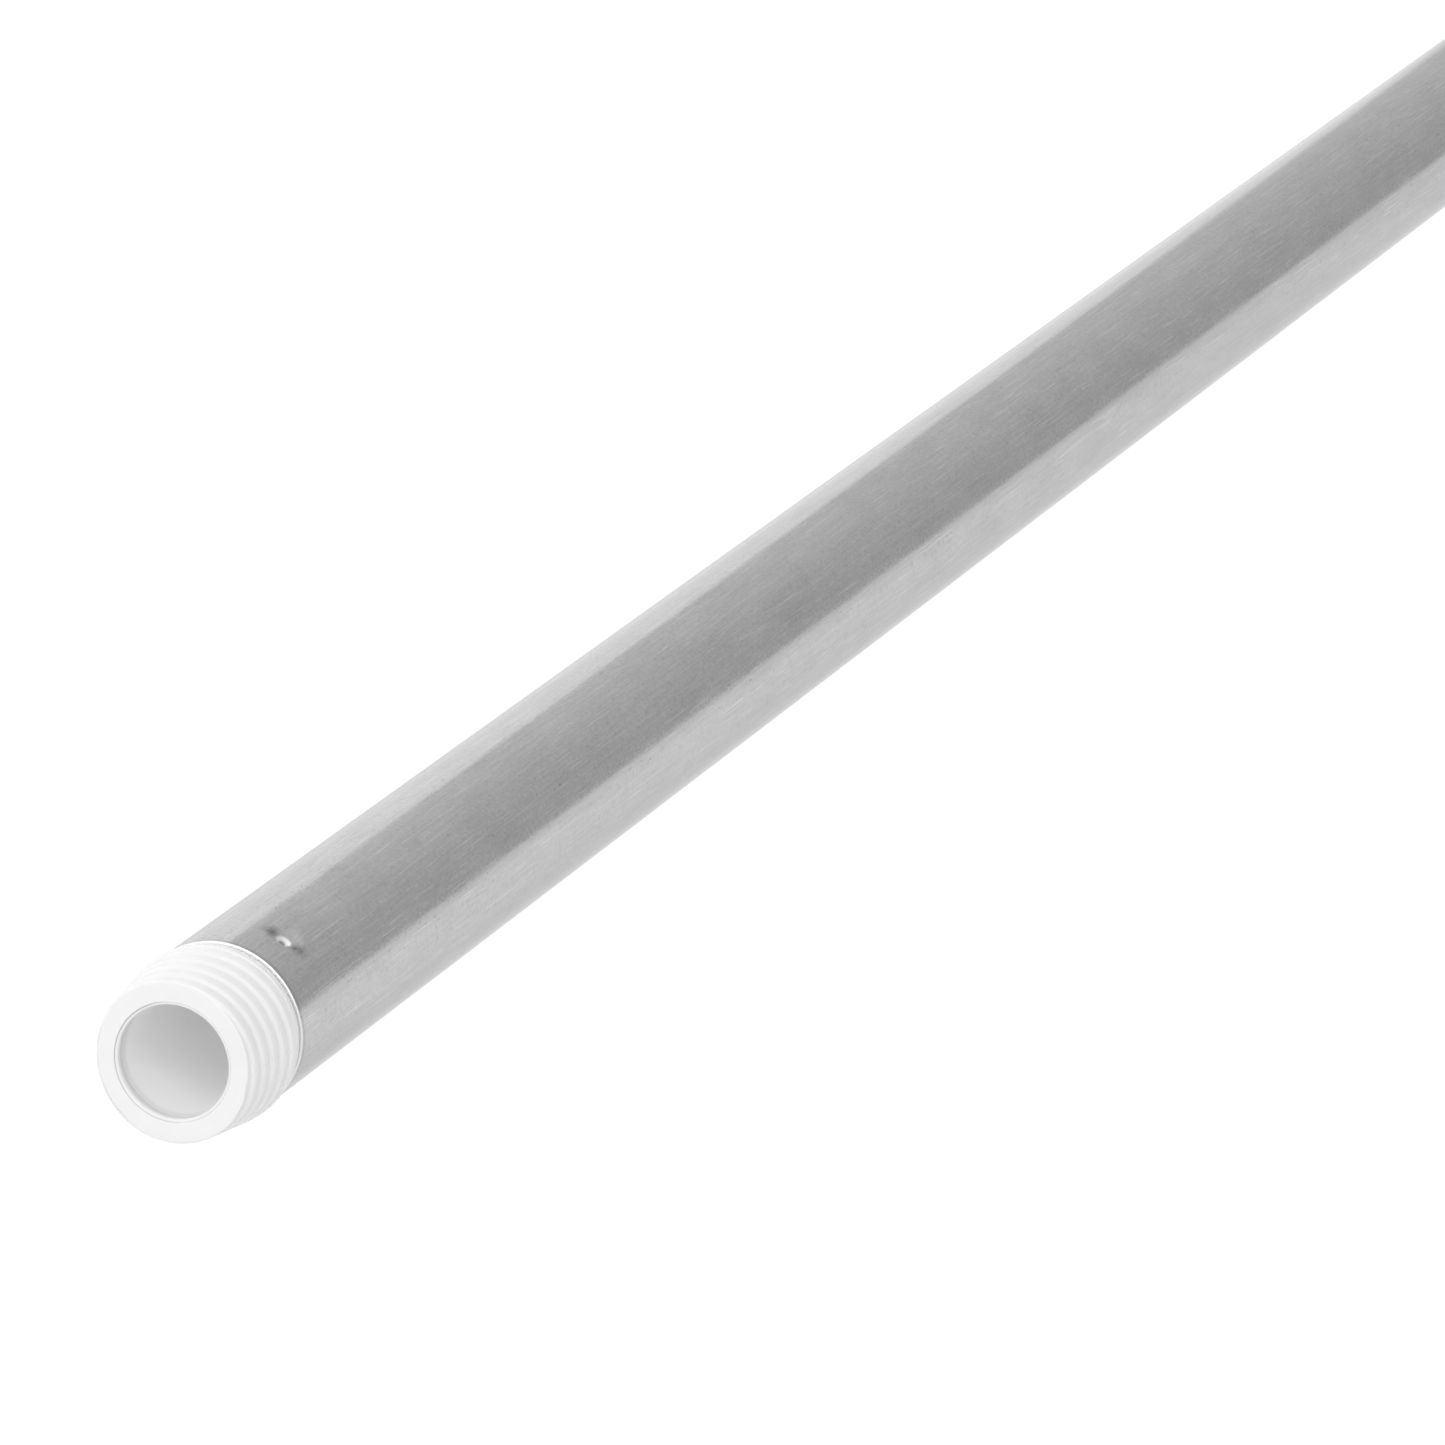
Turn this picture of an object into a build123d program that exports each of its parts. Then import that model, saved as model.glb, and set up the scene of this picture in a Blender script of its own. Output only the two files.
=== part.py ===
from build123d import *
import math
import os

os.makedirs("parts", exist_ok=True)

# Frame: X runs along the pole from the threaded nose towards the far end, Z is up.
# The cut end of the tube that carries the threaded end is the plane x = 0, and the
# centre line of the pole is the X axis. Azimuths turn about +X, from +Z towards -Y.
# Millimetres and degrees throughout.

# Tube
TUBE_R = 12.5
TUBE_WALL = 1.2
TUBE_LEN = 1400.0
TUBE_BORE_R = TUBE_R - TUBE_WALL
TUBE_EDGE = 0.1

# Punched stakes that lock each plastic end in the tube
STAKE_SETBACK = 9.5
STAKE_AZIMUTHS = (29.5, 209.5)
BOWL_R = 4.5
BOWL_DEPTH = 0.6
BULGE_DEPTH = 0.9
BOWL_RIM = 0.25
BOWL_SPREAD = 1.2
BOWL_STEPS = 8
BOWL_OVERSHOOT = 2.0
PIT_R = 1.15
PIT_FLOOR_R = 0.3
PIT_DEPTH = 0.35
POCKET_CLEARANCE = 0.05

# Plastic shanks pushed into the tube
SHANK_R = 11.22
SHANK_LEN = 30.0
SHANK_LEAD = 0.8
WEB = 2.5
WEB_X = 16.0
CORE_R = 8.1
RIB_R = 11.28
RIB_ROOT = 11.0
RIB_WIDTH = 1.2
RIB_COUNT = 8
RIB_TURN = 8.0
RIB_START = 1.0
RIB_LEN = 26.0

# Threaded nose
NOSE_X = -16.3
NOSE_R = 11.55
NOSE_ROUND = 0.35
TAPER_END_X = -4.6
CREST_R = 12.9
COLLAR_FLAT_END_X = -3.0
COLLAR_REAR_X = -0.6
COLLAR_REAR_R = 12.26
SEAT_R = 11.9
LIP_R = 8.44
LIP_DEPTH = 0.34
LAND_END = 0.8
RELIEF_DEPTH = 2.3
RELIEF_R = 8.42
RELIEF_END = 3.1

# Thread: two right-hand grooves, equally spaced round the nose, on a root cone of
# their own that meets the collar, where they vanish
PITCH = 2.64
STARTS = 2
ROOT_CONE_R = 11.1
ROOT_SLOPE = 0.115
ROOT_FLAT = 0.9
FLANK_RUN = 0.9
GROOVE_HEIGHT = 1.2
GROOVE_X = -13.5
GROOVE_AZIMUTH = 79.0
GROOVE_LEAD_IN = 2.0
GROOVE_END_X = -1.4

# Far cap with its hanging hole
FLANGE_R = 12.5
FLANGE_LEN = 3.0
CAP_R = 12.1
CAP_STRAIGHT = 20.0
DOME_R = 20.0
TIP_ANGLE = 10.0
CAP_CORE_END = 7.0
TAB_HALF = 4.5
TAB_START = 12.0
TAB_ROUND = 6.0
TAB_SPAN = 40.0
HANG_R = 5.0
HANG_SETBACK = 24.0
HANG_FLARE = 0.8


def rod(radius, x0, x1):
    """Round bar on the pole axis between two stations."""
    base = (Align.CENTER, Align.CENTER, Align.MIN)
    return Pos(x0, 0, 0) * Rot(0, 90, 0) * Cylinder(radius, x1 - x0, align=base)


def turned(points):
    """Solid of revolution about the pole axis from (x, r) points."""
    return revolve(make_face(Polyline(*points, close=True)), axis=Axis.X)


def bowl(top, depth, reach):
    """Solid standing on a smooth bowl that crosses the level of top at reach."""
    rim = []
    for i in range(BOWL_STEPS + 1):
        share = BOWL_SPREAD * i / BOWL_STEPS
        dish = 1 - share ** 2
        fall = (1 - BOWL_RIM) * dish * abs(dish) + BOWL_RIM * dish
        rim.append((reach * share, 0, top - depth * fall))
    climb = depth * 2 * BOWL_SPREAD * (2 * (1 - BOWL_RIM) * abs(dish) + BOWL_RIM)
    curve = Spline(*rim, tangents=((1, 0, 0), (reach, 0, climb)))
    lid = top + BOWL_OVERSHOOT
    side = Polyline(rim[-1], (rim[-1][0], 0, lid), (0, 0, lid), rim[0])
    return revolve(make_face([curve, side]), axis=Axis.Z)


def stake_dent():
    """Outside shape of one stake: a shallow bowl with a small punched pit in it."""
    floor = TUBE_R - BOWL_DEPTH
    pit = Polyline(
        (0, 0, floor - PIT_DEPTH),
        (PIT_FLOOR_R, 0, floor - PIT_DEPTH),
        (2 * PIT_R - PIT_FLOOR_R, 0, floor + PIT_DEPTH),
        (0, 0, floor + PIT_DEPTH),
        close=True,
    )
    return bowl(TUBE_R, BOWL_DEPTH, BOWL_R) + revolve(make_face(pit), axis=Axis.Z)


def stake_bulge(clearance):
    """Inside shape of one stake, larger all round by a clearance."""
    top = TUBE_BORE_R + BOWL_OVERSHOOT / 2
    bulge = bowl(TUBE_BORE_R, BULGE_DEPTH + clearance, BOWL_R + clearance)
    return bulge & Pos(0, 0, top / 2) * Box(4 * BOWL_R, 4 * BOWL_R, top)


def at_stakes(x, shape):
    """Copies of a punch shape, built with its axis on +Z, at one end's stakes."""
    return [Pos(x, 0, 0) * Rot(azimuth, 0, 0) * shape for azimuth in STAKE_AZIMUTHS]


def tube():
    """Drawn aluminium tube, cut square, with the stakes punched in near both ends."""
    end = TUBE_LEN
    body = turned([
        (0, TUBE_BORE_R),
        (0, TUBE_R - TUBE_EDGE),
        (TUBE_EDGE, TUBE_R),
        (end - TUBE_EDGE, TUBE_R),
        (end, TUBE_R - TUBE_EDGE),
        (end, TUBE_BORE_R),
    ])
    skin = rod(TUBE_R - TUBE_WALL / 2, 0, end)
    for x in (STAKE_SETBACK, end - STAKE_SETBACK):
        for bulge in at_stakes(x, stake_bulge(0)):
            body = body + (bulge & skin)
        for dent in at_stakes(x, stake_dent()):
            body = body - dent
    return body


def crush_ribs(x0):
    """Fine ribs along a shank that starts at x0, just shy of the tube's wall."""
    ribs = rod(RIB_R, x0, x0 + RIB_LEN) - rod(RIB_ROOT, x0, x0 + RIB_LEN)
    spokes = []
    for i in range(RIB_COUNT):
        bar = Pos(x0 + RIB_LEN / 2, 0, RIB_R / 2) * Box(RIB_LEN, RIB_WIDTH, RIB_R)
        spokes.append(Rot(RIB_TURN + i * 360 / RIB_COUNT, 0, 0) * bar)
    return ribs & (Part() + spokes)


def thread_grooves():
    """Cutters that follow the thread's root cone from ahead of the nose to the collar."""
    lead = PITCH * STARTS
    x0 = NOSE_X - GROOVE_LEAD_IN
    lean = math.degrees(math.atan(ROOT_SLOPE))
    stretch = math.cos(math.radians(lean))
    radius = ROOT_CONE_R - ROOT_SLOPE * GROOVE_LEAD_IN
    height = GROOVE_END_X - x0
    path = Helix(lead / stretch, height / stretch, radius, cone_angle=lean)
    half = ROOT_FLAT / 2
    flare = half + FLANK_RUN * GROOVE_HEIGHT
    outline = Polyline(
        (radius, 0, -half),
        (radius + GROOVE_HEIGHT, 0, -flare),
        (radius + GROOVE_HEIGHT, 0, flare),
        (radius, 0, half),
        close=True,
    )
    cutter = sweep(make_face(outline), path=path, is_frenet=True)
    start = GROOVE_AZIMUTH + 360 * (x0 - GROOVE_X) / lead
    turns = [start - 180 + i * 360 / STARTS for i in range(STARTS)]
    return [Pos(x0, 0, 0) * Rot(turn, 0, 0) * Rot(0, 90, 0) * cutter for turn in turns]


def threaded_end():
    """Moulded end: tapered thread, collar, and a shank cored from both ends to a web."""
    outline = Polyline(
        (NOSE_X, LIP_R),
        (NOSE_X, NOSE_R),
        (TAPER_END_X, CREST_R),
        (COLLAR_FLAT_END_X, CREST_R),
        (COLLAR_REAR_X, COLLAR_REAR_R),
        (COLLAR_REAR_X, SEAT_R),
        (0, SEAT_R),
        (0, SHANK_R),
        (SHANK_LEN - SHANK_LEAD, SHANK_R),
        (SHANK_LEN, SHANK_R - SHANK_LEAD),
        (SHANK_LEN, CORE_R),
        (WEB_X + WEB, CORE_R),
        (WEB_X + WEB, 0),
        (WEB_X, 0),
        (WEB_X, CORE_R),
        (NOSE_X + RELIEF_END, CORE_R),
        (NOSE_X + RELIEF_DEPTH, RELIEF_R),
        (NOSE_X + LAND_END, CORE_R),
        (NOSE_X + LIP_DEPTH, CORE_R),
        close=True,
    )
    section = make_face(outline)
    corner = section.vertices().sort_by_distance(Vector(NOSE_X, NOSE_R, 0))[0]
    body = revolve(fillet(corner, NOSE_ROUND), axis=Axis.X)
    for groove in thread_grooves():
        body = body - groove
    body = body + crush_ribs(RIB_START)
    for pocket in at_stakes(STAKE_SETBACK, stake_bulge(POCKET_CLEARANCE)):
        body = body - pocket
    return body


def cap_blank():
    """Far cap turned all round: cored shank, flange, straight body and domed tip."""
    end = TUBE_LEN
    middle = (end + CAP_STRAIGHT, 0)
    dome = EllipticalCenterArc(middle, DOME_R, CAP_R, start_angle=TIP_ANGLE, arc_size=90 - TIP_ANGLE)
    tip = dome @ 0
    outline = [
        dome,
        Polyline(
            (end + CAP_STRAIGHT, CAP_R),
            (end + FLANGE_LEN, CAP_R),
            (end + FLANGE_LEN, FLANGE_R),
            (end, FLANGE_R),
            (end, SHANK_R),
            (end - SHANK_LEN + SHANK_LEAD, SHANK_R),
            (end - SHANK_LEN, SHANK_R - SHANK_LEAD),
            (end - SHANK_LEN, CORE_R),
            (end + CAP_CORE_END, CORE_R),
            (end + CAP_CORE_END, 0),
            (tip.X, 0),
            (tip.X, tip.Y),
        ),
    ]
    return revolve(make_face(outline), axis=Axis.X)


def hanging_hole():
    """Cutter for the hole across the tab, flared at both mouths."""
    flare_y = TAB_HALF - HANG_FLARE
    reach = 2 * TAB_HALF
    wide = HANG_R + reach - flare_y
    outline = Polyline(
        (0, -reach),
        (wide, -reach),
        (HANG_R, -flare_y),
        (HANG_R, flare_y),
        (wide, reach),
        (0, reach),
        close=True,
    )
    return revolve(make_face(outline), axis=Axis.Y)


def hanging_cap():
    """Far cap: the turned blank flattened to a tab, with a rounded hanging hole."""
    end = TUBE_LEN
    body = cap_blank()
    for side in (1, -1):
        face = make_face(Polyline(
            (end + TAB_START, side * TAB_HALF),
            (end + TAB_START, side * TAB_SPAN),
            (end + TAB_START + TAB_SPAN, side * TAB_SPAN),
            (end + TAB_START + TAB_SPAN, side * TAB_HALF),
            close=True,
        ))
        inner = face.vertices().sort_by_distance(Vector(end + TAB_START, side * TAB_HALF, 0))
        scoop = extrude(fillet(inner[0], TAB_ROUND), TAB_SPAN, both=True)
        body = body - scoop
    body = body - Pos(end + HANG_SETBACK, 0, 0) * hanging_hole()
    body = body + crush_ribs(end - RIB_START - RIB_LEN)
    for pocket in at_stakes(end - STAKE_SETBACK, stake_bulge(POCKET_CLEARANCE)):
        body = body - pocket
    return body


pieces = {"tube": tube(), "threaded_end": threaded_end(), "hanging_cap": hanging_cap()}
for node, shape in pieces.items():
    export_step(shape, "parts/" + node + ".step")
    print(node, len(shape.solids()), round(shape.volume, 1), shape.is_valid)
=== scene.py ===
import math

import bpy
import numpy as np
from mathutils import Matrix, Vector


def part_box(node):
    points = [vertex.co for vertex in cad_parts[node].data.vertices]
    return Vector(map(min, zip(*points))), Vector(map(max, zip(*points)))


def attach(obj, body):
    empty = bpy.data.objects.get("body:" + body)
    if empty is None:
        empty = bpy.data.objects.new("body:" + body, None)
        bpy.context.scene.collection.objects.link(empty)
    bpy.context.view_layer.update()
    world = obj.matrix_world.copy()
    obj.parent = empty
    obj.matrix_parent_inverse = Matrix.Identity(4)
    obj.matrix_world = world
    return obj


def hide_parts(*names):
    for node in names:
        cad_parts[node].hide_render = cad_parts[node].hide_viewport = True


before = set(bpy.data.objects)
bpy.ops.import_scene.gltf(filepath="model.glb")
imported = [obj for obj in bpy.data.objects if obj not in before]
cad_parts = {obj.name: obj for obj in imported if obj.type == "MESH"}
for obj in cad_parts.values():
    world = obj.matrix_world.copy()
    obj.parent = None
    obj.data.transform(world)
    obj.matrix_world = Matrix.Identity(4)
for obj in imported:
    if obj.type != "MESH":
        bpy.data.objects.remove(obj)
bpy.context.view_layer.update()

# Shapes are worked out in millimetres in the row frame and stored in metres. X runs
# along the pole from its screw end, and azimuths turn about +X, from +Z towards -Y.
MM = 0.001
SLACK = 0.01

# Tube, and the broken edge of its cut ends
TUBE_R = 12.5
TUBE_BORE_R = 11.3
TUBE_LEN = round((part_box("tube")[1][0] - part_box("tube")[0][0]) / MM, 3)
TUBE_EDGE = 0.1

# Punched stakes: a shallow bowl, a pit in its middle, and a bulge in the bore
STAKE_SETBACK = 9.5
STAKE_AZIMUTHS = (29.5, 209.5)
STAKE_SOFTNESS = 0.10
STAKE_TURN = 28.0
BOWL_R = 4.5
BOWL_REACH = 1.4 * BOWL_R
BOWL_DEPTH = 0.6
BOWL_RIM = 0.25
PIT_R = 1.15
PIT_FLOOR_R = 0.3
PIT_DEPTH = 0.35
PIT_SOFTNESS = 0.12
PIT_RIM = 0.05
PIT_RIM_WIDTH = 0.25
BULGE_DEPTH = 0.9
SETTLING_ROUNDS = 6

# Painted light on the tube: a painted highlight ring round each pit, painted shade in the pit,
# painted dark reflections at both sides of the bowl, painted shade in a band behind each cut end,
# and a bright cut face whose painted highlight is strongest at the top
PIT_GLINT_TONE = 1.6
PIT_GLINT_R = 0.9
PIT_GLINT_WIDTH = 0.34
PIT_SHADE_TONE = 0.9
PIT_SHADE_R = 0.38
DARK_REFLECTION_REACH = 2.2
DARK_REFLECTION_ALONG = 1.3
DARK_REFLECTION_ROUND = 1.1
CUT_TONE = 0.72
CUT_HIGHLIGHT_SWING = 0.28
EDGE_SHADE_TONE = -0.35
EDGE_SHADE_START = 0.2
EDGE_SHADE_END = 0.8

# Stations of the tube's skin, measured from a cut end
EDGE_STATIONS = [0.0, TUBE_EDGE / 2, TUBE_EDGE, 0.13, 0.25, 0.4, 0.7, 1.0, 1.4]
STAKE_START = 2.2
STAKE_END = STAKE_SETBACK + 1.45 * BOWL_R
STAKE_STEP = 0.13
SPREAD_STATIONS = [18.0, 24.0, 34.0, 50.0, 80.0, 130.0]
PLAIN_START = 200.0
PLAIN_STEP = 100.0
BORE_STATIONS = [0.0, 0.8]
BORE_STAKE_START = 2.0
BORE_STAKE_STEP = 0.35
BORE_PLAIN_START = 30.0
TUBE_TURN_STEP = 1.5
TUBE_FINE_TURN_STEP = 0.5
TUBE_FINE_TURN = 22

# Screw end, outside
NOSE_X = round(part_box("threaded_end")[0][0] / MM, 3)
NOSE_R = 11.55
NOSE_ROUND = 0.35
FACE_STEP = 0.4
TAPER_END_X = -4.6
CREST_R = 12.9
COLLAR_FLAT_END_X = -3.0
COLLAR_REAR_X = -0.6
COLLAR_REAR_R = 12.26
COLLAR_REAR_BREAK = 0.05
COLLAR_SOFTNESS = 0.10
SEAT_R = 11.9
SHANK_R = 11.22
SHANK_ROOT_X = 0.3
SHANK_LEAD = 0.8
SHANK_END = round(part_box("threaded_end")[1][0] / MM, 3)
OUTER_STEP = 0.07
END_TURN_STEP = 1.2
END_FINE_TURN_STEP = 0.25
END_FINE_TURN = 2.5

# Thread grooves, which fade out as their cone meets the collar
PITCH = 2.64
STARTS = 2
ROOT_CONE_R = 11.1
ROOT_SLOPE = 0.115
ROOT_FLAT = 0.9
FLANK_RUN = 0.9
GROOVE_X = -13.5
GROOVE_AZIMUTH = 79.0
THREAD_SOFTNESS = 0.12
# Painted shade in the thread roots, deeper in the groove
ROOT_SHADE = 0.04
ROOT_SHADE_START = 0.1
PARTING_AZIMUTHS = (91.0, 271.0)
PARTING_WIDTH = 0.10
PARTING_DEPTH = 0.07

# Hollow of the screw end: its mouth, its core and the web that closes it
CORE_R = 8.1
CORE_FILLET = 0.5
CORE_STATIONS = (8.0, -5.0)
LIP_R = 8.44
LIP_DEPTH = 0.34
LAND_END = 0.8
RELIEF_DEPTH = 2.3
RELIEF_R = 8.42
RELIEF_END = 3.1
WEB_X = 16.0
WEB = 2.5
WEB_RING_R = 4.0
HUB_R = 0.4

# Fine nick round the mouth's edge, with painted shade on its shaded side
NICK_DEPTH = 0.22
NICK_R = LIP_R + 0.07
NICK_BAND = 0.07
NICK_SHADE = 0.7
NICK_AZIMUTH = 262.0

# The hanging cap's edges that turn more than this many degrees stay sharp
CAP_CORNER = 30.0

# Aluminium. Each noise has its scales along X, Y and Z, its detail and its roughness.
METAL_NOISES = {
    "lines": ((60.0, 3000.0, 3000.0), 3.0, 0.65),
    "broad": ((9.0, 420.0, 420.0), 2.0, 0.5),
    "mottle": ((70.0, 160.0, 160.0), 3.0, 0.5),
    "grain": ((1500.0, 1900.0, 1900.0), 2.0, 0.5),
    "pits": ((1300.0, 1500.0, 1500.0), 0.0, 0.5),
    "scratches": ((90.0, 5200.0, 5200.0), 1.0, 0.5),
}
# Where most of a noise's values lie
NOISE_LOW = 0.3
NOISE_HIGH = 0.7
# What each noise adds to the tone: the span of it that counts, and the tone at its ends
METAL_TONES = (
    ("lines", NOISE_LOW, NOISE_HIGH, -0.10, 0.10),
    ("mottle", NOISE_LOW, NOISE_HIGH, -0.07, 0.07),
    ("broad", NOISE_LOW, NOISE_HIGH, -0.03, 0.03),
    ("grain", NOISE_LOW, NOISE_HIGH, -0.12, 0.12),
    ("scratches", 0.60, 0.78, 0.0, 0.5),
)
METAL_MIDDLE_TONE = 0.5
METAL_SPECK_START = 0.72
METAL_SPECK_END = 0.78
METAL_SPECK_TONE = 0.2
METAL_DARK = 0.42
METAL_LIGHT = 0.74
# Colour of the painted shade and painted dark reflections on the tube
METAL_PAINTED_DARK = 0.2
METAL_PAINTED_DARK_PATCHES = (NOISE_LOW, 0.6, 0.35, 1.0)
# Colour of the painted highlights and the bright cut faces
METAL_GLINT_AND_CUT = 1.0
METAL_SPECULAR_TINT = 0.7
METAL_ANISOTROPY = 0.3
METAL_FINE = 0.13
METAL_COARSE = 0.19
METAL_MOTTLE_ROUGH = 0.02
METAL_GLINT_AND_CUT_ROUGH = 0.3
METAL_LINE_HEIGHT = 0.6
METAL_GRAIN_HEIGHT = 0.9
METAL_SPECK_DEPTH = 1.5
METAL_BUMP = 0.35
METAL_BUMP_HEIGHT = 0.00002

# White plastic
PLASTIC_IOR = 1.49
PLASTIC_SCATTER = 0.00012
PLASTIC_FLOW = 160.0
PLASTIC_DARK = 0.82
PLASTIC_LIGHT = 0.88
# Colour of the painted shade in the nick and the thread roots
PLASTIC_SHADE = 0.30
PLASTIC_GLOSSY = 0.36
PLASTIC_MATT = 0.5
PLASTIC_GRAIN = 2600.0
PLASTIC_BUMP = 0.15
PLASTIC_BUMP_HEIGHT = 0.00003
# Painted light and shade down the hollow, as base colour by share of HOLLOW_DEPTH: painted
# shade in the relief groove and painted light growing towards the web. It holds within HOLLOW_INNER_R
# and fades out by HOLLOW_OUTER_R.
HOLLOW_DEPTH = 17.0
HOLLOW_INNER_R = CORE_R + 0.2
HOLLOW_OUTER_R = CORE_R + 0.5
HOLLOW_MOUTH = 0.85
HOLLOW_WEB = 0.985
HOLLOW_STOPS = ((0.06, 0.85), (0.09, 0.74), (0.15, 0.74), (0.19, 0.84))

# Studio, in metres: the floor has a painted shadow, a little darker under the nose than further out
FLOOR_SIZE = 24.0
FLOOR_PLACE = (0.3, 0, -0.40)
FLOOR_SHADOW_X = -0.2
FLOOR_LIGHT_X = 0.55
FLOOR_SHADOW = 0.70
FLOOR_LIGHT = 0.96
FLOOR_ROUGH = 0.9
FLOOR_GLOW = 0.135
GLOW_DIM_Y = -0.4
GLOW_BRIGHT_Y = 0.5
GLOW_DIM = 0.55
GLOW_BRIGHT = 0.92
GLOW_ZENITH_Z = 0.5
GLOW_ZENITH = 0.22
WALL_EDGE = (4.75, 1.54, 1.8)
WALL_ALONG = (-0.63, 0.777, 0)
WALL_FACING = (-0.777, -0.63, 0)
WALL_WIDTH = 6.0
WALL_HEIGHT = 4.4
WALL_RADIANCE = 0.36
FILL_PLACE = (-3.3, -1.1, 2.4)
FILL_SIZE = 2.8
FILL_RADIANCE = 2.75
DIFFUSE_BOUNCES = 12
TOTAL_BOUNCES = 16

# Camera: degrees, millimetres of lens and sensor, and metres
CAMERA_HEADING = 20.0
CAMERA_DIP = 15.95
CAMERA_PLACE = (-1.3519, -0.5656, 0.4620)
CAMERA_LENS = 278.96
CAMERA_SENSOR = 36.0
CAMERA_NEAR = 0.05
CAMERA_FAR = 100.0


def soft_min(a, b, k):
    """The smaller of two arrays, with the corner between them rounded over about k."""
    h = np.clip(0.5 + 0.5 * (b - a) / k, 0, 1)
    return b + (a - b) * h - k * h * (1 - h)


def turn_gap(angles, middle):
    """Signed difference from middle in degrees, between -180 and 180."""
    return (angles - middle + 180) % 360 - 180


def ring_angles(coarse, fine, reach, middles):
    """Azimuths round a full turn: fine steps within reach of each middle, coarse elsewhere."""
    angles = [0.0]
    while angles[-1] < 360:
        near = any(abs(turn_gap(angles[-1], m)) < reach for m in middles)
        angles.append(angles[-1] + (fine if near else coarse))
    return np.array(angles[:-1])


def ramp(start, stop, step):
    """Evenly spaced stations from start up to but not including stop."""
    count = max(1, round(abs(stop - start) / step))
    return list(start + (stop - start) * np.arange(count) / count)


def arc(cx, cr, radius, start, stop, count):
    """Points (x, r) of a circular arc in the section plane, in degrees."""
    angles = np.radians(np.linspace(start, stop, count))
    return [(cx + radius * math.cos(a), cr + radius * math.sin(a)) for a in angles]


def skin(name, x, r, angles, closed):
    """Mesh from a grid of stations by azimuths, with its faces turned outwards.

    x and r are arrays in mm. A closed skin joins its last station to its first, and an
    open one gets a flat lid at each end.
    """
    rows, columns = r.shape
    turn = np.radians(angles)[None, :]
    verts = np.stack([np.broadcast_to(x, r.shape), -r * np.sin(turn), r * np.cos(turn)], axis=-1)
    index = np.arange(rows * columns).reshape(rows, columns)
    lids = [] if closed else [index[0][::-1].tolist(), index[-1].tolist()]
    if closed:
        index = np.vstack([index, index[:1]])
    right = np.roll(index, -1, axis=1)
    faces = np.stack([index[:-1], right[:-1], right[1:], index[1:]], axis=-1).reshape(-1, 4)
    mesh = bpy.data.meshes.new(name)
    mesh.from_pydata((verts.reshape(-1, 3) * MM).tolist(), [], faces.tolist() + lids)
    mesh.validate()
    mesh.polygons.foreach_set("use_smooth", [True] * len(mesh.polygons))
    piece = bpy.data.objects.new(name, mesh)
    bpy.context.scene.collection.objects.link(piece)
    return piece


def paint_layer(piece, name, values):
    """Stores one number per point of a skin, for its material to read."""
    layer = piece.data.attributes.new(name, "FLOAT", "POINT")
    layer.data.foreach_set("value", values.ravel().astype(np.float32))


def stands_for(piece, node, material):
    """Ties a finished piece to the CAD node that it replaces."""
    piece.data.materials.append(material)
    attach(piece, "root")
    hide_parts(node)


def stake_middles():
    """Station and azimuth of each punched stake."""
    stations = (STAKE_SETBACK, TUBE_LEN - STAKE_SETBACK)
    return [(x, azimuth) for x in stations for azimuth in STAKE_AZIMUTHS]


def bowl_fall(rho):
    """How far down a stake's bowl is at rho from its middle, as a share of its depth."""
    dish = 1 - (rho / BOWL_R) ** 2
    return (1 - BOWL_RIM) * dish * np.abs(dish) + BOWL_RIM * dish


def staked(x, angles, wall_r, depth, pit):
    """Wall radius over the grid with the stakes punched into it."""
    r = np.full((len(x), len(angles)), wall_r)
    for middle_x, azimuth in stake_middles():
        gap = turn_gap(angles, azimuth)
        near_x = np.abs(x - middle_x) < BOWL_REACH
        near_turn = np.abs(gap) < STAKE_TURN
        box = np.ix_(near_x, near_turn)
        turn = np.radians(gap[near_turn])[None, :]
        along = (x[near_x] - middle_x)[:, None]
        here = np.full((near_x.sum(), near_turn.sum()), wall_r)
        for _ in range(SETTLING_ROUNDS):
            rho = np.hypot(along, here * np.sin(turn))
            floor_r = wall_r - depth * bowl_fall(np.minimum(rho, BOWL_REACH))
            if pit:
                slope = (rho - PIT_FLOOR_R) / (PIT_R - PIT_FLOOR_R)
                cone = wall_r - depth - PIT_DEPTH * (1 - np.maximum(slope, 0))
                floor_r = soft_min(floor_r, cone, PIT_SOFTNESS)
                floor_r = floor_r + PIT_RIM * np.exp(-((rho - PIT_R) / PIT_RIM_WIDTH) ** 2)
            here = floor_r / np.cos(turn)
        r[box] = soft_min(r[box], here, STAKE_SOFTNESS)
    return r


def tube_painted_light(x, angles):
    """Painted light on the outside wall: 1 on painted highlights and bright cut faces, -1 on painted
    shade and dark reflections by a stake.
    """
    tone = np.zeros((len(x), len(angles)))
    for middle_x, azimuth in stake_middles():
        along = (x - middle_x)[:, None]
        across = TUBE_R * np.radians(turn_gap(angles, azimuth))[None, :]
        rho = np.hypot(along, across)
        # Painted highlight ring round the pit, painted shade in the pit and painted dark reflections
        # beside the bowl
        ring = PIT_GLINT_TONE * np.exp(-((rho - PIT_GLINT_R) / PIT_GLINT_WIDTH) ** 2)
        pit = PIT_SHADE_TONE * np.exp(-(rho / PIT_SHADE_R) ** 2)
        reach = (np.abs(across) - DARK_REFLECTION_REACH) / DARK_REFLECTION_ROUND
        dark_reflection = np.exp(-(reach ** 2) - (along / DARK_REFLECTION_ALONG) ** 2)
        tone = tone + ring - pit - dark_reflection
    setback = np.minimum(x, TUBE_LEN - x)
    # Painted shade in a band behind each cut end
    tone[(setback > EDGE_SHADE_START) & (setback < EDGE_SHADE_END)] = EDGE_SHADE_TONE
    # Bright cut face, with a painted highlight strongest at the top
    cut = setback < TUBE_EDGE + SLACK
    tone[cut] = CUT_TONE + CUT_HIGHLIGHT_SWING * np.cos(np.radians(angles))
    return np.clip(tone, -1, 1)


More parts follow.
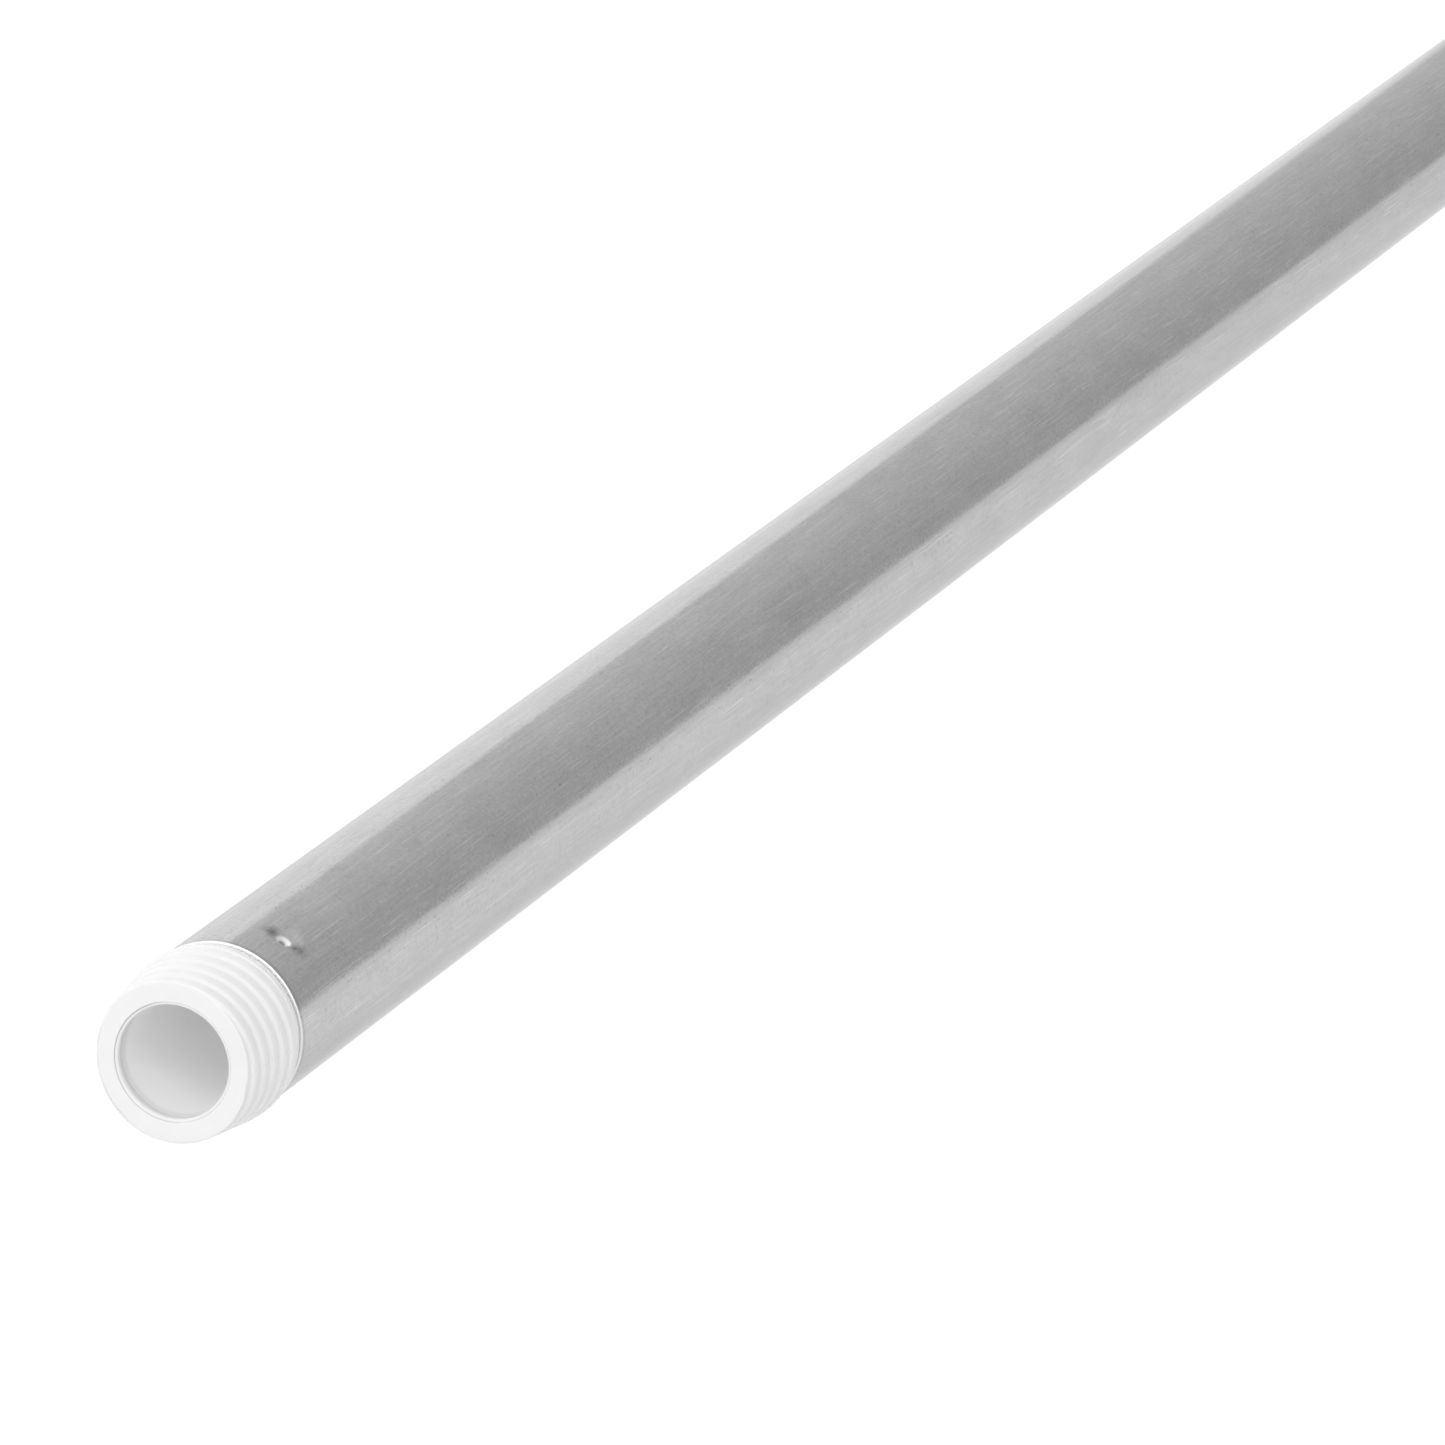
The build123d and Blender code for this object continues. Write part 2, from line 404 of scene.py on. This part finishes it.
def tube_piece(material):
    """The tube as one closed skin: outside with its stakes, cut ends and bore."""
    near = EDGE_STATIONS + ramp(STAKE_START, STAKE_END, STAKE_STEP) + [STAKE_END] + SPREAD_STATIONS
    plain = ramp(PLAIN_START, TUBE_LEN - PLAIN_START, PLAIN_STEP) + [TUBE_LEN - PLAIN_START]
    outside = np.array(near + plain + [TUBE_LEN - v for v in reversed(near)])
    angles = ring_angles(TUBE_TURN_STEP, TUBE_FINE_TURN_STEP, TUBE_FINE_TURN, STAKE_AZIMUTHS)
    edge = np.maximum(TUBE_EDGE - outside, outside - (TUBE_LEN - TUBE_EDGE))
    r_out = staked(outside, angles, TUBE_R, BOWL_DEPTH, pit=True)
    r_out = r_out - np.maximum(edge, 0)[:, None]
    near = BORE_STATIONS + ramp(BORE_STAKE_START, STAKE_END, BORE_STAKE_STEP)
    near = near + [STAKE_END, BORE_PLAIN_START]
    inside = np.array(near + [TUBE_LEN / 2] + [TUBE_LEN - v for v in reversed(near)])[::-1]
    r_in = staked(inside, angles, TUBE_BORE_R, BULGE_DEPTH, pit=False)
    x = np.concatenate([outside, inside])[:, None]
    r = np.vstack([r_out, r_in])
    piece = skin("tube_shell", x, r, angles, closed=True)
    # Layer of painted light and shade, and the bright cut faces, for the material
    painted_light_and_cut_edge = np.zeros(r.shape)
    painted_light_and_cut_edge[:len(outside)] = tube_painted_light(outside, angles)
    painted_light_and_cut_edge[len(outside)] = painted_light_and_cut_edge[len(outside) - 1]
    painted_light_and_cut_edge[-1] = painted_light_and_cut_edge[0]
    paint_layer(piece, "painted_light_and_cut_edge", painted_light_and_cut_edge)
    stands_for(piece, "tube", material)


def hollow_section():
    """Points (x, r) of the hollow from its web to the mouth, and on to the nose's rim."""
    fillet_r = CORE_R - CORE_FILLET
    points = [(WEB_X, HUB_R), (WEB_X, WEB_RING_R), (WEB_X, fillet_r - 0.1)]
    points += arc(WEB_X - CORE_FILLET, fillet_r, CORE_FILLET, 0, 90, 5)
    points += [(x, CORE_R) for x in CORE_STATIONS]
    # Depth behind the nose and radius, with the corners eased by a few hundredths
    mouth = [
        (RELIEF_END, CORE_R),
        (RELIEF_DEPTH + 0.15, RELIEF_R - 0.01),
        (RELIEF_DEPTH, RELIEF_R),
        (RELIEF_DEPTH - 0.15, RELIEF_R - 0.02),
        (LAND_END, CORE_R + 0.01),
        (LIP_DEPTH + 0.1, CORE_R),
        (LIP_DEPTH - 0.06, CORE_R + 0.05),
        (0.04, LIP_R - 0.02),
        (0.03, LIP_R + 0.01),
        (NICK_DEPTH, NICK_R - 0.02),
        (NICK_DEPTH, NICK_R + 0.02),
        (0.02, LIP_R + 0.19),
        (0.0, LIP_R + 0.21),
    ]
    points += [(NOSE_X + depth, radius) for depth, radius in mouth]
    return points + [(NOSE_X, radius) for radius in ramp(LIP_R + 0.3, NOSE_R - NOSE_ROUND, FACE_STEP)]


def outer_section():
    """Stations and radii of the nose's edge, the taper and the collar, with no thread."""
    x = NOSE_X + np.array(ramp(0.0, COLLAR_REAR_X - COLLAR_REAR_BREAK - NOSE_X, OUTER_STEP))
    slope = (CREST_R - NOSE_R) / (TAPER_END_X - NOSE_X)
    r = np.minimum(NOSE_R + slope * (x - NOSE_X), CREST_R)
    fall = (CREST_R - COLLAR_REAR_R) / (COLLAR_REAR_X - COLLAR_FLAT_END_X)
    r = soft_min(r, CREST_R - fall * (x - COLLAR_FLAT_END_X), COLLAR_SOFTNESS)
    inset = np.maximum(NOSE_ROUND - (x - NOSE_X), 0)
    return x, r - (NOSE_ROUND - np.sqrt(NOSE_ROUND ** 2 - inset ** 2))


def shank_section():
    """Points (x, r) from behind the collar along the shank and back in to the web."""
    web_end = WEB_X + WEB
    return [
        (COLLAR_REAR_X, COLLAR_REAR_R - COLLAR_REAR_BREAK),
        (COLLAR_REAR_X, SEAT_R),
        (0.0, SEAT_R),
        (0.0, SHANK_R),
        (SHANK_ROOT_X, SHANK_R),
        (SHANK_END - SHANK_LEAD, SHANK_R),
        (SHANK_END, SHANK_R - SHANK_LEAD),
        (SHANK_END, CORE_R),
        (web_end + CORE_FILLET, CORE_R),
        (web_end, CORE_R - CORE_FILLET),
        (web_end, HUB_R),
    ]


def threaded(x, r, angles):
    """Radii of the outer skin with the thread grooves and the parting lines cut in."""
    lag = (x[:, None] - GROOVE_X) / PITCH - STARTS * (angles[None, :] - GROOVE_AZIMUTH) / 360
    away = np.abs(lag - np.round(lag)) * PITCH
    root = ROOT_CONE_R + ROOT_SLOPE * (x - NOSE_X)
    groove = root[:, None] + np.maximum(away - ROOT_FLAT / 2, 0) / FLANK_RUN
    cut = soft_min(np.repeat(r[:, None], len(angles), axis=1), groove, THREAD_SOFTNESS)
    for azimuth in PARTING_AZIMUTHS:
        across = np.radians(turn_gap(angles, azimuth)) * CREST_R
        nick = PARTING_DEPTH * np.exp(-(across / PARTING_WIDTH) ** 2)
        cut = cut - nick[None, :]
    return cut


def screw_end_piece(material):
    """The screw end as one skin: blind core, nose, thread, collar and closed shank."""
    angles = ring_angles(END_TURN_STEP, END_FINE_TURN_STEP, END_FINE_TURN, PARTING_AZIMUTHS)
    wide = np.ones((1, len(angles)))
    head = np.array(hollow_section())
    outer_x, outer_r = outer_section()
    tail = np.array(shank_section())
    x = np.concatenate([head[:, 0], outer_x, tail[:, 0]])[:, None]
    r = np.vstack([head[:, 1:] * wide, threaded(outer_x, outer_r, angles), tail[:, 1:] * wide])
    piece = skin("screw_end", x, r, angles, closed=False)
    # Painted shade in the nick on its shaded side and in the thread roots
    painted_shade = np.zeros(r.shape)
    nick = (x[:, 0] < NOSE_X + NICK_DEPTH + SLACK) & (np.abs(r[:, 0] - NICK_R) < NICK_BAND)
    facing = np.clip(np.cos(np.radians(angles - NICK_AZIMUTH)), 0, 1)
    painted_shade[nick] = NICK_SHADE * np.sqrt(facing)[None, :]
    outer = slice(len(head), len(head) + len(outer_x))
    painted_shade[outer] = ROOT_SHADE * np.clip(outer_r[:, None] - r[outer] - ROOT_SHADE_START, 0, 1)
    paint_layer(piece, "painted_shade", painted_shade)
    stands_for(piece, "threaded_end", material)


def grey(level):
    """Opaque neutral colour of one level."""
    return (level, level, level, 1)


def add_node(tree, kind, inputs, **settings):
    """New node with its settings made and its inputs filled, each by an output or a value."""
    node = tree.nodes.new(kind)
    for name, value in settings.items():
        setattr(node, name, value)
    for key, value in inputs.items():
        if isinstance(value, bpy.types.NodeSocket):
            tree.links.new(value, node.inputs[key])
        else:
            node.inputs[key].default_value = value
    return node


def noise(tree, vector, scale, detail, rough=0.5):
    """Noise texture over a vector."""
    inputs = {"Vector": vector, "Scale": scale, "Detail": detail, "Roughness": rough}
    return add_node(tree, "ShaderNodeTexNoise", inputs).outputs["Fac"]


def scaled(tree, vector, scales):
    """Vector scaled along X, Y and Z."""
    inputs = {"Vector": vector, "Scale": scales}
    return add_node(tree, "ShaderNodeMapping", inputs).outputs["Vector"]


def remap(tree, value, start, end, low, high):
    """Low at start, high at end, a straight line between and level outside."""
    inputs = {"Value": value, "From Min": start, "From Max": end, "To Min": low, "To Max": high}
    return add_node(tree, "ShaderNodeMapRange", inputs).outputs["Result"]


def calculate(tree, operation, a, b):
    """Result of one sum on two numbers or outputs."""
    return add_node(tree, "ShaderNodeMath", {0: a, 1: b}, operation=operation).outputs["Value"]


def blend(tree, factor, a, b):
    """Colour that goes from a to b with factor."""
    inputs = {"Factor": factor, "A": a, "B": b}
    return add_node(tree, "ShaderNodeMix", inputs, data_type="RGBA").outputs["Result"]


def layer_value(tree, name):
    """Value of a layer stored on the mesh's points."""
    return add_node(tree, "ShaderNodeAttribute", {}, attribute_name=name).outputs["Fac"]


def split(tree, vector):
    """The X, Y and Z outputs of a vector."""
    return add_node(tree, "ShaderNodeSeparateXYZ", {"Vector": vector}).outputs


def bump_on(tree, shader, height, strength, distance):
    """Fine relief on a shader."""
    inputs = {"Height": height, "Strength": strength, "Distance": distance}
    bump = add_node(tree, "ShaderNodeBump", inputs)
    tree.links.new(bump.outputs["Normal"], shader.inputs["Normal"])


def new_material(name):
    """Plain material: itself, its node tree, its main shader and its object coordinates."""
    material = bpy.data.materials.new(name)
    material.use_nodes = True
    tree = material.node_tree
    coords = tree.nodes.new("ShaderNodeTexCoord").outputs["Object"]
    return material, tree, tree.nodes["Principled BSDF"], coords


def aluminium():
    """Drawn bare aluminium: lengthwise lines, mottling, specks, and on top the layer of painted
    highlights, painted shade and dark reflections, and the bright cut faces.
    """
    material, tree, shader, coords = new_material("drawn_aluminium")
    shader.inputs["Metallic"].default_value = 1.0
    shader.inputs["Anisotropic"].default_value = METAL_ANISOTROPY
    shader.inputs["Specular Tint"].default_value = grey(METAL_SPECULAR_TINT)
    noises = {}
    for name, (scales, detail, rough) in METAL_NOISES.items():
        noises[name] = noise(tree, scaled(tree, coords, scales), 1.0, detail, rough)
    specks = remap(tree, noises["pits"], METAL_SPECK_START, METAL_SPECK_END, 0.0, 1.0)
    tone = METAL_MIDDLE_TONE
    for name, start, end, low, high in METAL_TONES:
        tone = calculate(tree, "ADD", tone, remap(tree, noises[name], start, end, low, high))
    tone = calculate(tree, "SUBTRACT", tone, calculate(tree, "MULTIPLY", specks, METAL_SPECK_TONE))
    bare = blend(tree, tone, grey(METAL_DARK), grey(METAL_LIGHT))
    # Painted highlights, painted shade and painted dark reflections from the mesh layer, and the bright
    # cut faces
    painted_light_and_cut_edge = layer_value(tree, "painted_light_and_cut_edge")
    patchy = remap(tree, noises["grain"], *METAL_PAINTED_DARK_PATCHES)
    painted_dark = calculate(tree, "MULTIPLY", remap(tree, painted_light_and_cut_edge, -1.0, 0.0, 1.0, 0.0), patchy)
    glint_and_cut = remap(tree, painted_light_and_cut_edge, 0.0, 1.0, 0.0, 1.0)
    bare_with_painted_light = blend(tree, glint_and_cut, blend(tree, painted_dark, bare, grey(METAL_PAINTED_DARK)), grey(METAL_GLINT_AND_CUT))
    tree.links.new(bare_with_painted_light, shader.inputs["Base Color"])
    rough = remap(tree, noises["grain"], NOISE_LOW, NOISE_HIGH, METAL_FINE, METAL_COARSE)
    swing = METAL_MOTTLE_ROUGH
    uneven = remap(tree, noises["mottle"], NOISE_LOW, NOISE_HIGH, -swing, swing)
    rough = calculate(tree, "ADD", rough, uneven)
    rough = calculate(tree, "ADD", rough, calculate(tree, "MULTIPLY", glint_and_cut, METAL_GLINT_AND_CUT_ROUGH))
    tree.links.new(rough, shader.inputs["Roughness"])
    tangent = add_node(tree, "ShaderNodeTangent", {}, direction_type="RADIAL", axis="X")
    tree.links.new(tangent.outputs["Tangent"], shader.inputs["Tangent"])
    lines = calculate(tree, "MULTIPLY", noises["lines"], METAL_LINE_HEIGHT)
    grain = calculate(tree, "MULTIPLY", noises["grain"], METAL_GRAIN_HEIGHT)
    pits = calculate(tree, "MULTIPLY", specks, METAL_SPECK_DEPTH)
    height = calculate(tree, "SUBTRACT", calculate(tree, "ADD", lines, grain), pits)
    bump_on(tree, shader, height, METAL_BUMP, METAL_BUMP_HEIGHT)
    return material


def hollow_painted_light(tree, coords):
    """Where the hollow's wall is, from 0 to 1, and its painted light and shade by depth."""
    across = scaled(tree, coords, (0, 1, 1))
    radius = add_node(tree, "ShaderNodeVectorMath", {0: across}, operation="LENGTH").outputs["Value"]
    inner = remap(tree, radius, HOLLOW_OUTER_R * MM, HOLLOW_INNER_R * MM, 0.0, 1.0)
    along = split(tree, coords)["X"]
    depth = remap(tree, along, NOSE_X * MM, (NOSE_X + HOLLOW_DEPTH) * MM, 0.0, 1.0)
    wall = add_node(tree, "ShaderNodeValToRGB", {"Fac": depth})
    stops = wall.color_ramp.elements
    stops[0].color = grey(HOLLOW_MOUTH)
    stops[1].color = grey(HOLLOW_WEB)
    for place, level in HOLLOW_STOPS:
        stops.new(place).color = grey(level)
    return inner, wall.outputs["Color"]


def white_plastic():
    """Moulded white plastic: satin, faintly translucent, with fine grain, flow marks, painted light and
    shade down the hollow, and painted shade in the nick and the thread roots.
    """
    material, tree, shader, coords = new_material("moulded_white_plastic")
    shader.inputs["IOR"].default_value = PLASTIC_IOR
    shader.inputs["Subsurface Weight"].default_value = 1.0
    shader.inputs["Subsurface Radius"].default_value = (1.0, 1.0, 1.0)
    shader.inputs["Subsurface Scale"].default_value = PLASTIC_SCATTER
    flow = noise(tree, coords, PLASTIC_FLOW, 3.0)
    tint = blend(tree, flow, grey(PLASTIC_DARK), grey(PLASTIC_LIGHT))
    # Painted light and shade down the hollow
    inner, wall = hollow_painted_light(tree, coords)
    # Painted shade darkens the nick and the thread roots
    with_painted_shade = blend(tree, layer_value(tree, "painted_shade"), blend(tree, inner, tint, wall), grey(PLASTIC_SHADE))
    tree.links.new(with_painted_shade, shader.inputs["Base Color"])
    rough = remap(tree, flow, 0.0, 1.0, PLASTIC_GLOSSY, PLASTIC_MATT)
    tree.links.new(rough, shader.inputs["Roughness"])
    grain = noise(tree, coords, PLASTIC_GRAIN, 2.0)
    bump_on(tree, shader, grain, PLASTIC_BUMP, PLASTIC_BUMP_HEIGHT)
    return material


def paint_cap(material):
    """Gives the CAD hanging cap its plastic, smooth except over its real corners."""
    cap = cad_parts["hanging_cap"]
    cap.data.materials.clear()
    cap.data.materials.append(material)
    cap.data.polygons.foreach_set("use_smooth", [True] * len(cap.data.polygons))
    cap.data.set_sharp_from_angle(angle=math.radians(CAP_CORNER))


def floor():
    """Plain pale floor below the pole, with a painted shadow under the nose and a faint glow."""
    bpy.ops.mesh.primitive_plane_add(size=FLOOR_SIZE, location=FLOOR_PLACE)
    plane = bpy.context.active_object
    plane.name = "studio_floor"
    material, tree, shader, coords = new_material("pale_floor")
    # Painted shadow: darker under the nose than further out
    shade = remap(tree, split(tree, coords)["X"], FLOOR_SHADOW_X, FLOOR_LIGHT_X, FLOOR_SHADOW, FLOOR_LIGHT)
    tree.links.new(shade, shader.inputs["Base Color"])
    shader.inputs["Roughness"].default_value = FLOOR_ROUGH
    shader.inputs["Specular IOR Level"].default_value = 0.0
    shader.inputs["Emission Color"].default_value = (1, 1, 1, 1)
    shader.inputs["Emission Strength"].default_value = FLOOR_GLOW
    plane.data.materials.append(material)


def softbox(name, place, target, width, height, radiance):
    """Area light of a given size whose face has the given radiance."""
    light = bpy.data.lights.new(name, "AREA")
    light.shape = "RECTANGLE"
    light.size = width
    light.size_y = height
    light.energy = radiance * math.pi * width * height
    lamp = bpy.data.objects.new(name, light)
    bpy.context.scene.collection.objects.link(lamp)
    lamp.location = place
    facing = Vector(target) - Vector(place)
    lamp.rotation_euler = facing.to_track_quat("-Z", "Y").to_euler()
    lamp.visible_camera = False


def glow(world):
    """Studio glow that is dimmer towards -Y and brighter overhead."""
    world.use_nodes = True
    tree = world.node_tree
    background = tree.nodes["Background"]
    background.inputs["Color"].default_value = (1, 1, 1, 1)
    direction = split(tree, tree.nodes.new("ShaderNodeTexCoord").outputs["Generated"])
    spread = remap(tree, direction["Y"], GLOW_DIM_Y, GLOW_BRIGHT_Y, GLOW_DIM, GLOW_BRIGHT)
    zenith = remap(tree, direction["Z"], GLOW_ZENITH_Z, 1.0, 0.0, GLOW_ZENITH)
    tree.links.new(calculate(tree, "ADD", spread, zenith), background.inputs["Strength"])


def lights():
    """Soft white studio: graded glow, a dim wall at one side and a fill ahead."""
    world = bpy.data.worlds.new("studio")
    glow(world)
    bpy.context.scene.world = world
    middle = Vector(WALL_EDGE) + WALL_WIDTH / 2 * Vector(WALL_ALONG)
    target = middle + Vector(WALL_FACING)
    softbox("side_wall", middle, target, WALL_WIDTH, WALL_HEIGHT, WALL_RADIANCE)
    softbox("front_fill", FILL_PLACE, (0, 0, 0), FILL_SIZE, FILL_SIZE, FILL_RADIANCE)


def camera():
    """Long lens looking down the pole from ahead of its screw end."""
    heading = math.radians(CAMERA_HEADING)
    dip = math.radians(CAMERA_DIP)
    level = Vector((math.cos(heading), math.sin(heading), 0))
    ahead = math.cos(dip) * level - Vector((0, 0, math.sin(dip)))
    right = Vector((math.sin(heading), -math.cos(heading), 0))
    up = right.cross(ahead)
    lens = bpy.data.cameras.new("camera")
    lens.sensor_width = CAMERA_SENSOR
    lens.lens = CAMERA_LENS
    lens.clip_start = CAMERA_NEAR
    lens.clip_end = CAMERA_FAR
    shot = bpy.data.objects.new("camera", lens)
    bpy.context.scene.collection.objects.link(shot)
    turn = Matrix((right, up, -ahead)).transposed()
    shot.matrix_world = Matrix.Translation(CAMERA_PLACE) @ turn.to_4x4()
    bpy.context.scene.camera = shot


metal = aluminium()
plastic = white_plastic()
tube_piece(metal)
screw_end_piece(plastic)
paint_cap(plastic)
floor()
lights()
camera()
bpy.context.scene.view_settings.view_transform = "Standard"
# Light needs this many bounces to fill the deep white hollow
bpy.context.scene.cycles.diffuse_bounces = DIFFUSE_BOUNCES
bpy.context.scene.cycles.max_bounces = TOTAL_BOUNCES
